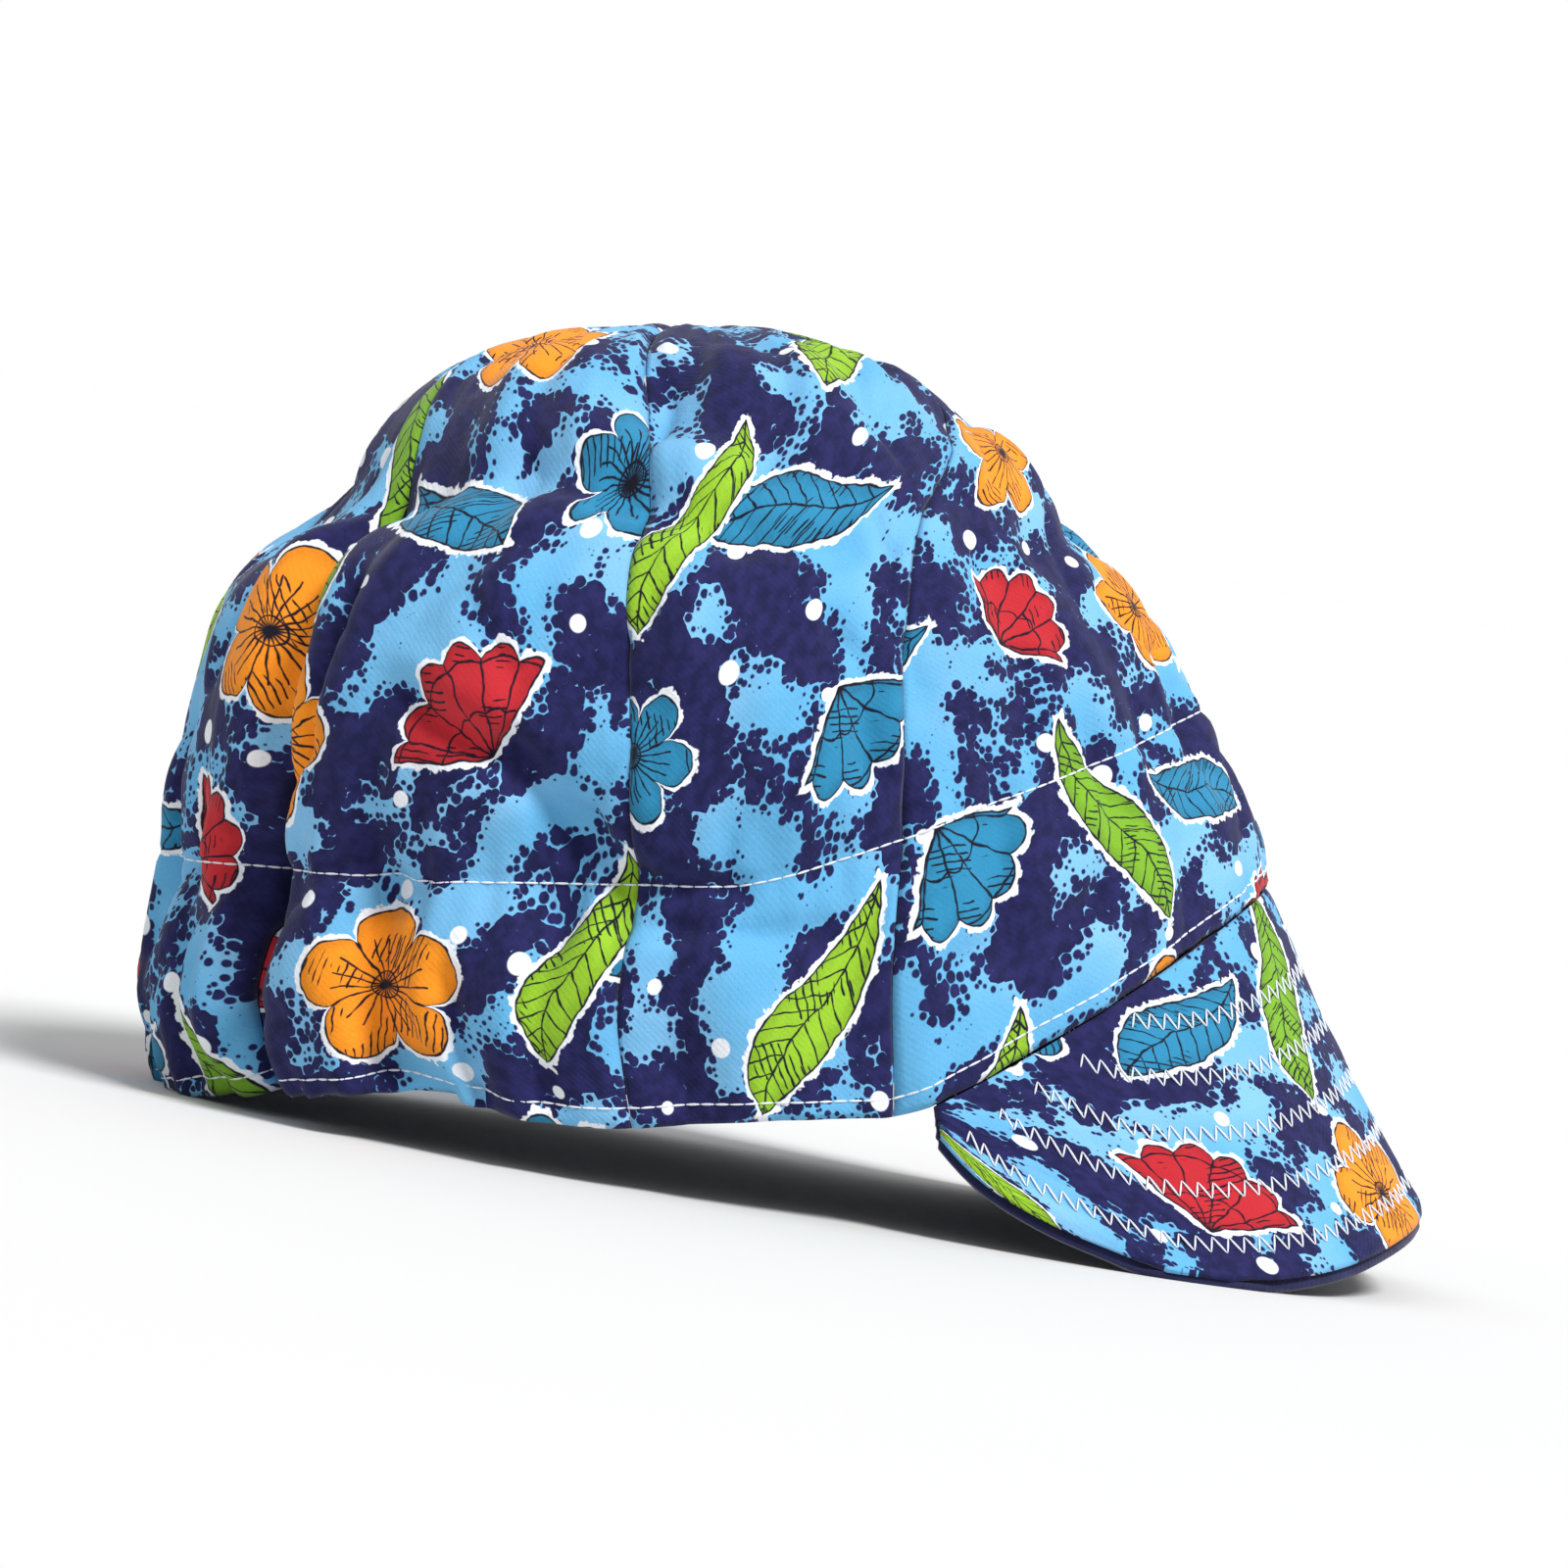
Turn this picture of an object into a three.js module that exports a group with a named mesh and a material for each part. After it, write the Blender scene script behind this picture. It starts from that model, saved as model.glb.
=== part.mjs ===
// A welder's cap of printed cotton, standing empty on a table. Eight cloth panels (gores) run from the rim
// to the tip of the crown. A band of plain cloth is sewn inside the rim, and a soft quilted peak of two
// plies hangs steeply from the front of it. The cap stands on the nape of its rim and on the two low edges
// of the peak. Millimetres and degrees. +X is the front of the cap, +Y its left side, +Z up. The origin is
// on the table, under the middle of the cap. While the cap is shaped its rim is level, and at the end it
// is tipped back on to the table.
import * as THREE from "three";

// Driving sizes
const openingLength = 204; // rim, forehead to nape
const openingWidth = 158; // rim, ear to ear
const crownHeight = 142; // rim at the ears to the top of the crown
const foreheadRise = 37; // rim at the forehead above the rim at the ears
const goreHeight = 182; // a panel from the rim to its tip, along the cloth
const bandWidth = 40; // rim to the row of stitches round the head
const crownLean = 30; // how far the tip of the soft crown has slid to the left
const goreFullness = 2.6; // how far a panel bellies out between its seams
const foldWidth = 10; // half width of a full fold
const foldDepth = 6; // depth of a full fold
const gatherDepth = 1.5; // ripples where the elastic draws in the nape
const gatherPitch = 23;
const peakLength = 66; // seam to edge, at the middle
const peakDroop = 64; // below the level, at the middle
const peakSpan = 67; // each side of the middle, round the rim
const peakSag = 1.2; // how far the peak dips between seam and edge
const peakLip = 1.6; // the lower ply shows below the upper one
const clothThickness = 1.3; // panels and inner band
const plyThickness = 1.4; // each ply of the peak
const sewnGap = 0.3; // between pieces that are sewn together
const footFlat = 1.2; // cloth pressed flat where the cap rests

const eggShape = 0.05; // the nape is rounder than the forehead
const rimFlat = 0.32; // the rim is level this share of the way from the ear to the forehead, then climbs
const rimCurve = 1.2; // how gently it starts to climb
const tipSlope = 0.15; // the leaning crown is lower on its left
const tipUp = 0.993; // the panels end here, a hair short of the tip
const halfLength = openingLength / 2;
const halfWidth = openingWidth / 2;
const bandUp = bandWidth / goreHeight;

// Level by level, up is a share of the panel's height. frontX and backX are shares of half the opening's
// length, frontZ of the height from the forehead to the top, sideY of half its width, backZ and sideZ of
// the crown's height.
const sections = [
  { name: "rim", up: 0, frontX: 1.0, frontZ: 0, backX: 0.99, backZ: 0.002, sideY: 1.0, sideZ: -0.008 },
  { name: "hem", up: 0.05, frontX: 0.98, frontZ: 0.073, backX: 1.022, backZ: 0.068, sideY: 1.012, sideZ: 0.058 },
  { name: "low band", up: 0.1, frontX: 0.955, frontZ: 0.14, backX: 1.038, backZ: 0.135, sideY: 1.022, sideZ: 0.125 },
  { name: "band", up: 0.16, frontX: 0.912, frontZ: 0.218, backX: 1.006, backZ: 0.222, sideY: 1.014, sideZ: 0.205 },
  { name: "topstitch", up: 0.22, frontX: 0.866, frontZ: 0.302, backX: 0.965, backZ: 0.303, sideY: 0.99, sideZ: 0.283 },
  { name: "overhang", up: 0.3, frontX: 0.81, frontZ: 0.417, backX: 0.957, backZ: 0.412, sideY: 1.03, sideZ: 0.392 },
  { name: "low crown", up: 0.4, frontX: 0.718, frontZ: 0.541, backX: 0.912, backZ: 0.549, sideY: 1.035, sideZ: 0.528 },
  { name: "crown", up: 0.5, frontX: 0.618, frontZ: 0.645, backX: 0.84, backZ: 0.668, sideY: 0.99, sideZ: 0.662 },
  { name: "shoulder", up: 0.6, frontX: 0.53, frontZ: 0.752, backX: 0.66, backZ: 0.768, sideY: 0.9, sideZ: 0.778 },
  { name: "upper crown", up: 0.7, frontX: 0.418, frontZ: 0.84, backX: 0.545, backZ: 0.872, sideY: 0.755, sideZ: 0.876 },
  { name: "dome", up: 0.8, frontX: 0.265, frontZ: 0.905, backX: 0.408, backZ: 0.94, sideY: 0.56, sideZ: 0.92 },
  { name: "top", up: 0.9, frontX: 0.12, frontZ: 0.965, backX: 0.232, backZ: 0.972, sideY: 0.32, sideZ: 0.962 },
  { name: "tip", up: 1, frontX: -0.05, frontZ: 0.975, backX: 0.05, backZ: 0.982, sideY: 0, sideZ: 0.982 },
];

// The seams between the panels, as angles round the head from the forehead, right side positive, at five
// heights.
const seams = [
  { name: "front", rim: 0, band: 0, middle: 0, upper: -8, top: -12 },
  { name: "right temple", rim: 71.5, band: 65, middle: 50, upper: 24, top: 30 },
  { name: "right ear", rim: 98, band: 95.5, middle: 92.5, upper: 96, top: 97 },
  { name: "right nape", rim: 144, band: 144, middle: 143, upper: 148, top: 152 },
  { name: "back", rim: 180, band: 180, middle: 180, upper: 186, top: 190 },
  { name: "left nape", rim: 222, band: 223, middle: 225, upper: 226, top: 232 },
  { name: "left ear", rim: 263, band: 265, middle: 266, upper: 264, top: 270 },
  { name: "left temple", rim: 291, band: 296, middle: 306, upper: 312, top: 310 },
];
const seamLevels = { rim: 0, band: bandUp, middle: 0.5, upper: 0.68, top: 0.86 };

// Each panel lies between a seam and the next one. Columns is how many strips it is faceted into.
const gores = [
  { name: "gore_right_front", columns: 10 },
  { name: "gore_right_temple", columns: 7 },
  { name: "gore_right_ear", columns: 13 },
  { name: "gore_right_nape", columns: 15 },
  { name: "gore_left_nape", columns: 15 },
  { name: "gore_left_ear", columns: 12 },
  { name: "gore_left_temple", columns: 7 },
  { name: "gore_left_front", columns: 10 },
];
const goreRows = [
  0, 0.03, 0.07, 0.12, 0.17, bandUp, 0.26, 0.305, 0.35, 0.395, 0.44, 0.49, 0.54, 0.59, 0.645, 0.7, 0.76, 0.82,
  0.88, 0.94, tipUp,
];

// Folds run from one place on the crown to another. At is an angle round the head, up a share of the
// panel's height, width and depth shares of a full fold. A negative depth is a dent, a positive one a
// ridge.
const folds = [
  { name: "nape pleat, crown", fromAt: 144, fromUp: 0.54, toAt: 144, toUp: 0.22, width: 0.6, depth: -1.0 },
  { name: "nape pleat, band", fromAt: 144, fromUp: 0.22, toAt: 144, toUp: 0.0, width: 0.55, depth: -0.8 },
  { name: "ridge behind the pleat", fromAt: 150, fromUp: 0.52, toAt: 152, toUp: 0.08, width: 0.8, depth: 0.35 },
  { name: "ridge before the pleat", fromAt: 130, fromUp: 0.42, toAt: 131, toUp: 0.02, width: 0.8, depth: 0.3 },
  { name: "band hollow", fromAt: 120, fromUp: 0.2, toAt: 121, toUp: 0.0, width: 0.6, depth: -0.5 },
  { name: "ear hollow", fromAt: 99, fromUp: 0.38, toAt: 104, toUp: 0.24, width: 1.2, depth: -0.8 },
  { name: "ear seam dent", fromAt: 94, fromUp: 0.7, toAt: 95, toUp: 0.42, width: 0.8, depth: -0.6 },
  { name: "dent under the dome, back", fromAt: 118, fromUp: 0.58, toAt: 96, toUp: 0.68, width: 1.1, depth: -0.6 },
  { name: "dent under the dome, front", fromAt: 90, fromUp: 0.68, toAt: 62, toUp: 0.56, width: 1.1, depth: -0.65 },
  { name: "back lobe", fromAt: 172, fromUp: 0.545, toAt: 140, toUp: 0.6, width: 1.0, depth: -0.5 },
  { name: "temple crease", fromAt: 38, fromUp: 0.42, toAt: 47, toUp: 0.28, width: 0.6, depth: -0.35 },
  { name: "temple ridge", fromAt: 62, fromUp: 0.2, toAt: 67, toUp: 0.02, width: 0.7, depth: 0.3 },
  { name: "brow dent", fromAt: 0, fromUp: 0.475, toAt: 28, toUp: 0.46, width: 0.7, depth: -0.4 },
  { name: "upper brow dent", fromAt: 0, fromUp: 0.69, toAt: 44, toUp: 0.62, width: 0.9, depth: -0.35 },
  { name: "left nape pleat", fromAt: 229, fromUp: 0.46, toAt: 224, toUp: 0.04, width: 0.7, depth: -0.8 },
  { name: "left ear hollow", fromAt: 258, fromUp: 0.36, toAt: 254, toUp: 0.22, width: 1.2, depth: -0.6 },
  { name: "left dome dent", fromAt: 250, fromUp: 0.58, toAt: 292, toUp: 0.6, width: 1.2, depth: -0.7 },
  { name: "left temple crease", fromAt: 318, fromUp: 0.44, toAt: 308, toUp: 0.2, width: 0.8, depth: -0.4 },
];

// How the rim waves up and down, in shares of a full fold's depth.
const rimWaves = [
  { name: "right nape lift", at: 127, spread: 14, lift: 0.6 },
  { name: "right ear sag", at: 100, spread: 12, lift: -0.3 },
  { name: "left nape lift", at: 236, spread: 13, lift: 0.45 },
  { name: "left ear sag", at: 262, spread: 12, lift: -0.25 },
];

// The peak between its middle (0) and its end (1): its length as a share of the full one, and which way it
// hangs. Steeper is added to the droop, outward is its sideways turn from straight ahead.
const peakSections = [
  { name: "middle", along: 0, length: 1.0, steeper: 0, outward: 0 },
  { name: "front", along: 0.25, length: 1.01, steeper: 0, outward: 12 },
  { name: "quarter", along: 0.5, length: 0.95, steeper: 0, outward: 24 },
  { name: "side", along: 0.7, length: 0.78, steeper: 1, outward: 33 },
  { name: "low side", along: 0.85, length: 0.51, steeper: 3, outward: 42 },
  { name: "heel", along: 0.95, length: 0.26, steeper: 8, outward: 52 },
  { name: "end", along: 1, length: 0.09, steeper: 14, outward: 62 },
];
const peakColumns = 30;
const peakRows = 6;

const radians = THREE.MathUtils.degToRad;
const ease = (from, to, value) => THREE.MathUtils.smoothstep(value, from, to);

// A smooth curve through the rows of a table: the value of one column where another column has a given value.
function read(table, place, where, column) {
  let i = 0;
  while (i < table.length - 2 && table[i + 1][place] < where) i++;
  const slope = (k) => {
    const before = table[Math.max(k - 1, 0)];
    const after = table[Math.min(k + 1, table.length - 1)];
    return (after[column] - before[column]) / (after[place] - before[place]);
  };
  const a = table[i];
  const b = table[i + 1];
  const step = b[place] - a[place];
  const s = (where - a[place]) / step;
  const bend = (2 * s - 3) * s * s;
  return (
    a[column] * (1 + bend) -
    b[column] * bend +
    step * s * (1 - s) * (slope(i) * (1 - s) - slope(i + 1) * s)
  );
}

function seamAt(index, up) {
  const seam = seams[index % seams.length];
  const turn = index >= seams.length ? 360 : 0;
  const rows = Object.entries(seamLevels).map(([name, level]) => ({ level, angle: seam[name] }));
  return read(rows, "level", Math.min(up, seamLevels.top), "angle") + turn;
}

// Where a place on the crown lies across its panel: 0 on one seam and 1 on the next.
function acrossGore(at, up) {
  const first = seamAt(0, up);
  const angle = THREE.MathUtils.euclideanModulo(at - first, 360) + first;
  let i = 0;
  while (i < seams.length - 1 && seamAt(i + 1, up) <= angle) i++;
  const start = seamAt(i, up);
  return (angle - start) / (seamAt(i + 1, up) - start);
}

// The smooth crown, before folds.
function smoothCrown(at, up) {
  const c = Math.cos(radians(at));
  const s = Math.sin(radians(at));
  const column = (name) => read(sections, "up", up, name);
  const frontX = column("frontX") * halfLength;
  const backX = column("backX") * halfLength;
  const sideZ = column("sideZ") * crownHeight;
  const endZ =
    c > 0 ? foreheadRise + column("frontZ") * (crownHeight - foreheadRise) : column("backZ") * crownHeight;
  const width = column("sideY") * halfWidth * s * (1 - eggShape * c);
  const level = rimFlat * (1 - ease(0, 0.35, up));
  const climb = (Math.max(Math.abs(c) - level, 0) / (1 - level)) ** rimCurve;
  return new THREE.Vector3(
    (frontX - backX) / 2 + ((frontX + backX) / 2) * c,
    -width + crownLean * ease(0.35, 1, up),
    sideZ + (endZ - sideZ) * climb + tipSlope * width * ease(0.4, 0.8, up),
  );
}

// How far the cloth stands out of the smooth crown: each panel's belly, the folds, and the gathers at the
// nape.
function relief(at, up) {
  const belly = goreFullness * Math.sin(Math.PI * acrossGore(at, up)) * (0.35 + 0.65 * ease(0.2, 0.45, up));
  const perDegree = (Math.PI * (halfLength + halfWidth)) / 360 * Math.max(read(sections, "up", up, "sideY"), 0);
  let out = belly * (1 - ease(0.7, 0.95, up));
  for (const fold of folds) {
    const side = Math.abs(at - fold.fromAt) > 180 ? at + 360 * Math.sign(fold.fromAt - at) : at;
    const alongX = (fold.toAt - fold.fromAt) * perDegree;
    const alongY = (fold.toUp - fold.fromUp) * goreHeight;
    const placeX = (side - fold.fromAt) * perDegree;
    const placeY = (up - fold.fromUp) * goreHeight;
    const share = (placeX * alongX + placeY * alongY) / (alongX ** 2 + alongY ** 2);
    const held = THREE.MathUtils.clamp(share, 0, 1);
    const away = Math.hypot(placeX - held * alongX, placeY - held * alongY) / (fold.width * foldWidth);
    out += fold.depth * foldDepth * Math.exp(-(away ** 2));
  }
  const fromBack = Math.abs(180 - THREE.MathUtils.euclideanModulo(at, 360));
  const wave = (2 * Math.PI * fromBack * perDegree) / gatherPitch;
  const drawn = (1 - ease(40, 75, fromBack)) * (1 - ease(bandUp, bandUp + 0.2, up));
  return out + gatherDepth * drawn * Math.sin(wave + 0.9 * Math.sin(0.43 * wave));
}

const wrap = (angle) => THREE.MathUtils.euclideanModulo(angle + 180, 360) - 180;

function rimLift(at, up) {
  const waves = rimWaves.map((w) => w.lift * Math.exp(-((wrap(at - w.at) / w.spread) ** 2)));
  return foldDepth * waves.reduce((sum, lift) => sum + lift, 0) * (1 - ease(0, 0.25, up));
}

// The outward direction of a surface given as a function of two numbers.
function facing(surface, at, up) {
  const alongAt = surface(at + 0.5, up).sub(surface(at - 0.5, up));
  const alongUp = surface(at, up + 0.003).sub(surface(at, up - 0.003));
  return alongUp.cross(alongAt).normalize();
}

function crownSurface(at, up) {
  const point = smoothCrown(at, up);
  point.z += rimLift(at, up);
  return point.addScaledVector(facing(smoothCrown, at, up), relief(at, up));
}

// A place in the crown's wall, a given depth under its outer face.
function crownWall(at, up, depth) {
  const outward = facing(crownSurface, at, up);
  const top = new THREE.Vector3(0, 0, 1);
  return crownSurface(at, up).addScaledVector(outward.lerp(top, ease(0.93, tipUp, up)).normalize(), -depth);
}

// A closed wall from two matching grids of points, the outer and the inner face. A grid is a list of rows,
// and looped ones join their last column to their first.
function wallBetween(outer, inner, looped = false) {
  const rows = outer.length;
  const columns = outer[0].length;
  const positions = [...outer, ...inner].flat().flatMap((p) => p.toArray());
  const triangles = [];
  const quad = (a, b, c, d) => triangles.push(a, b, c, a, c, d);
  const out = (r, c) => r * columns + (c % columns);
  const inside = (r, c) => (rows + r) * columns + (c % columns);
  const strips = looped ? columns : columns - 1;
  for (let c = 0; c < strips; c++) {
    for (let r = 0; r < rows - 1; r++) {
      quad(out(r, c), out(r + 1, c), out(r + 1, c + 1), out(r, c + 1));
      quad(inside(r, c), inside(r, c + 1), inside(r + 1, c + 1), inside(r + 1, c));
    }
    quad(out(0, c), out(0, c + 1), inside(0, c + 1), inside(0, c));
    quad(out(rows - 1, c), inside(rows - 1, c), inside(rows - 1, c + 1), out(rows - 1, c + 1));
  }
  for (let r = 0; r < rows - 1 && !looped; r++) {
    const last = columns - 1;
    quad(out(r, 0), inside(r, 0), inside(r + 1, 0), out(r + 1, 0));
    quad(out(r, last), out(r + 1, last), inside(r + 1, last), inside(r, last));
  }
  const geometry = new THREE.BufferGeometry();
  geometry.setAttribute("position", new THREE.Float32BufferAttribute(positions, 3));
  geometry.setIndex(triangles);
  return geometry;
}

// The angles of a panel's columns at one height, from a seam to the next one, held back from both by a trim.
function columnAngles(index, up, trim) {
  const from = seamAt(index, up);
  const to = seamAt(index + 1, up);
  const hold = (trim * (to - from)) / smoothCrown(from, up).distanceTo(smoothCrown(to, up));
  const count = gores[index].columns;
  return Array.from({ length: count + 1 }, (_, i) => THREE.MathUtils.lerp(from + hold, to - hold, i / count));
}

// A panel of the crown, half the gap short of the seam on both sides.
function goreWall(index) {
  const grid = (depth) =>
    goreRows.map((up) => columnAngles(index, up, sewnGap / 2).map((at) => crownWall(at, up, depth)));
  return wallBetween(grid(0), grid(clothThickness));
}

// The plain band inside the rim, a closed ring between the rim and the row of stitches.
function bandWall() {
  const levels = goreRows.filter((up) => up > 0 && up <= bandUp);
  const around = (up) => gores.flatMap((_, index) => columnAngles(index, up, sewnGap / 2));
  const grid = (depth) => levels.map((up) => around(up).map((at) => crownWall(at, up, depth)));
  return wallBetween(grid(clothThickness + sewnGap), grid(2 * clothThickness + sewnGap), true);
}

// The upper face of the peak. Across runs from -1 to 1 between its ends, down from 0 at the seam to 1 at
// the edge.
function peakSurface(across, down) {
  const along = Math.abs(across);
  const column = (name) => read(peakSections, "along", along, name);
  const start = crownWall(across * peakSpan, 0, 0);
  const droop = radians(peakDroop + column("steeper"));
  const outward = radians(column("outward")) * Math.sign(across);
  const length = peakLength * column("length");
  const hang = new THREE.Vector3(
    Math.cos(droop) * Math.cos(outward),
    -Math.cos(droop) * Math.sin(outward),
    -Math.sin(droop),
  );
  const lifted = new THREE.Vector3(
    Math.sin(droop) * Math.cos(outward),
    -Math.sin(droop) * Math.sin(outward),
    Math.cos(droop),
  );
  return start
    .addScaledVector(hang, sewnGap + length * down)
    .addScaledVector(lifted, -peakSag * column("length") * Math.sin(Math.PI * down));
}

function peakPly(top, lip) {
  const normalOf = (across, down) => {
    const alongAcross = peakSurface(across + 0.01, down).sub(peakSurface(across - 0.01, down));
    const alongDown = peakSurface(across, down + 0.02).sub(peakSurface(across, down - 0.02));
    return alongAcross.cross(alongDown).normalize();
  };
  const grid = (depth) =>
    Array.from({ length: peakRows + 1 }, (_, r) => {
      return Array.from({ length: peakColumns + 1 }, (_, c) => {
        const across = 1 - (2 * c) / peakColumns;
        const length = peakLength * read(peakSections, "along", Math.abs(across), "length");
        const down = (r / peakRows) * (1 + (lip * (r / peakRows)) / length);
        return peakSurface(across, down).addScaledVector(normalOf(across, down), -depth);
      });
    });
  return wallBetween(grid(top), grid(top + plyThickness));
}

const printedCotton = new THREE.MeshStandardMaterial({ color: 0x5aa6d8, roughness: 0.9, metalness: 0 });
const lining = new THREE.MeshStandardMaterial({ color: 0x2e2b5e, roughness: 0.95, metalness: 0 });

const worn = new THREE.Group();
const add = (name, geometry, material) => {
  const mesh = new THREE.Mesh(geometry, material);
  mesh.name = name;
  worn.add(mesh);
};
gores.forEach((gore, index) => add(gore.name, goreWall(index), printedCotton));
add("inner_band", bandWall(), lining);
add("peak_upper_ply", peakPly(0, 0), printedCotton);
add("peak_lower_ply", peakPly(plyThickness + sewnGap, peakLip), printedCotton);

// The cap tips back until it rests on the nape of its rim and on both sides of the peak. It is centred
// over the origin, and its cloth is pressed flat on the table where it touches.
function standOnTable(cap) {
  const move = (matrix) => cap.children.forEach((mesh) => mesh.geometry.applyMatrix4(matrix));
  const lowest = (test) => {
    let found = new THREE.Vector3(0, 0, Infinity);
    for (const mesh of cap.children) {
      const places = mesh.geometry.getAttribute("position");
      for (let i = 0; i < places.count; i++) {
        const place = new THREE.Vector3().fromBufferAttribute(places, i);
        if (test(place) && place.z < found.z) found = place;
      }
    }
    return found;
  };
  const level = new THREE.Vector3(0, 0, 1);
  for (let pass = 0; pass < 8; pass++) {
    const nape = lowest((place) => place.x < 0);
    const left = lowest((place) => place.x > 0 && place.y > 0).sub(nape);
    const right = lowest((place) => place.x > 0 && place.y < 0).sub(nape);
    const turn = new THREE.Quaternion().setFromUnitVectors(right.cross(left).normalize(), level);
    move(new THREE.Matrix4().makeRotationFromQuaternion(turn));
  }
  const box = new THREE.Box3().setFromObject(cap);
  const middle = box.getCenter(new THREE.Vector3());
  move(new THREE.Matrix4().makeTranslation(-middle.x, -middle.y, -box.min.z - footFlat));
  for (const mesh of cap.children) {
    const places = mesh.geometry.getAttribute("position");
    for (let i = 0; i < places.count; i++) places.setZ(i, Math.max(places.getZ(i), 0));
    mesh.geometry.computeVertexNormals();
  }
}
standOnTable(worn);

export default worn;
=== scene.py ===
# A welder's soft cap of printed cotton, resting on a pale table.
import math

import bmesh
import bpy
import numpy as np
from mathutils import Matrix, Vector, noise


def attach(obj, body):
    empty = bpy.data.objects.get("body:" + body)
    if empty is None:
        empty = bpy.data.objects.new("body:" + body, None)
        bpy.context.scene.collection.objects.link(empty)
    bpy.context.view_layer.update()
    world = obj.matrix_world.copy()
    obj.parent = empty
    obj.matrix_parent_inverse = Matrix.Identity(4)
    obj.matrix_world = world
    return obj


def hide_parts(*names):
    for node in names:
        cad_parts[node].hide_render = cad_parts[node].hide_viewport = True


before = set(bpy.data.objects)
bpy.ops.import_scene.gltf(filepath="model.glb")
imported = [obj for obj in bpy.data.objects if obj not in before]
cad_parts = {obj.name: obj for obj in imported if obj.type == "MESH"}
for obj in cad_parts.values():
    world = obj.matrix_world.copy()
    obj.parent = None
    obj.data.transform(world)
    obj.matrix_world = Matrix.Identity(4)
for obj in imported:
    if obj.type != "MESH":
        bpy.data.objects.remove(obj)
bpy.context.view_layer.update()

# The crown: eight panels of cotton twill, cut with curved sides and sewn edge to edge from rim to tip. The
# cloth stands in soft folds, is pinched along every seam, and is drawn up at the nape. All of its shape comes
# from these sizes in millimetres and from the tables of sections, seams and folds.
opening_length = 204
opening_width = 158
crown_height = 142
forehead_rise = 37
gore_height = 182
band_width = 40
crown_lean = 30
gore_fullness = 2.6
fold_width = 10
fold_depth = 6
gather_depth = 1.5
gather_pitch = 23
cloth_thickness = 1.3
sewn_gap = 0.3
hem_row = 3.3
egg_shape = 0.05
rim_flat = 0.32
rim_curve = 1.2
tip_slope = 0.15
tip_up = 0.9985
half_length = opening_length / 2
half_width = opening_width / 2
rim_per_degree = math.pi * (half_length + half_width) / 360
band_up = band_width / gore_height

SECTION_COLUMNS = ("up", "front_x", "front_z", "back_x", "back_z", "side_y", "side_z")
SECTIONS = {
    "rim": (0, 1.0, 0, 0.99, 0.002, 1.0, -0.008),
    "hem": (0.05, 0.98, 0.073, 1.022, 0.068, 1.012, 0.058),
    "low band": (0.1, 0.955, 0.14, 1.038, 0.135, 1.022, 0.125),
    "band": (0.16, 0.912, 0.218, 1.006, 0.222, 1.014, 0.205),
    "topstitch": (0.22, 0.866, 0.302, 0.965, 0.303, 0.99, 0.283),
    "overhang": (0.3, 0.81, 0.417, 0.957, 0.412, 1.03, 0.392),
    "low crown": (0.4, 0.718, 0.541, 0.912, 0.549, 1.035, 0.528),
    "crown": (0.5, 0.618, 0.645, 0.84, 0.668, 0.99, 0.662),
    "shoulder": (0.6, 0.53, 0.752, 0.66, 0.768, 0.9, 0.778),
    "upper crown": (0.7, 0.418, 0.84, 0.545, 0.872, 0.755, 0.876),
    "dome": (0.8, 0.265, 0.905, 0.408, 0.94, 0.56, 0.92),
    "top": (0.9, 0.12, 0.965, 0.232, 0.972, 0.32, 0.962),
    "tip": (1, -0.05, 0.975, 0.05, 0.982, 0, 0.982),
}
SEAM_LEVELS = (0, band_up, 0.5, 0.68, 0.86)
SEAMS = {
    "front": (0, 0, 0, -8, -12),
    "right temple": (71.5, 65, 50, 24, 30),
    "right ear": (98, 95.5, 92.5, 96, 97),
    "right nape": (144, 144, 143, 148, 152),
    "back": (180, 180, 180, 186, 190),
    "left nape": (222, 223, 225, 226, 232),
    "left ear": (263, 265, 266, 264, 270),
    "left temple": (291, 296, 306, 312, 310),
    "front again": (360, 360, 360, 352, 348),
}
panel_count = len(SEAMS) - 1
# From an angle and a height to an angle and a height, then width and depth as shares of a full fold.
FOLDS = {
    "nape pleat, crown": (144, 0.54, 144, 0.22, 0.6, -1.0),
    "nape pleat, band": (144, 0.22, 144, 0.0, 0.55, -0.8),
    "ridge behind the pleat": (150, 0.52, 152, 0.08, 0.8, 0.35),
    "ridge before the pleat": (130, 0.42, 131, 0.02, 0.8, 0.3),
    "band hollow": (120, 0.2, 121, 0.0, 0.6, -0.5),
    "ear hollow": (99, 0.38, 104, 0.24, 1.2, -0.8),
    "ear seam dent": (94, 0.7, 95, 0.42, 0.8, -0.6),
    "dent under the dome, back": (118, 0.58, 96, 0.68, 1.1, -0.6),
    "dent under the dome, front": (90, 0.68, 62, 0.56, 1.1, -0.65),
    "back lobe": (172, 0.545, 140, 0.6, 1.0, -0.5),
    "temple crease": (38, 0.42, 47, 0.28, 0.6, -0.35),
    "temple ridge": (62, 0.2, 67, 0.02, 0.7, 0.3),
    "brow dent": (0, 0.475, 28, 0.46, 0.7, -0.4),
    "upper brow dent": (0, 0.69, 44, 0.62, 0.9, -0.35),
    "left nape pleat": (229, 0.46, 224, 0.04, 0.7, -0.8),
    "left ear hollow": (258, 0.36, 254, 0.22, 1.2, -0.6),
    "left dome dent": (250, 0.58, 292, 0.6, 1.2, -0.7),
    "left temple crease": (318, 0.44, 308, 0.2, 0.8, -0.4),
}
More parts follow.
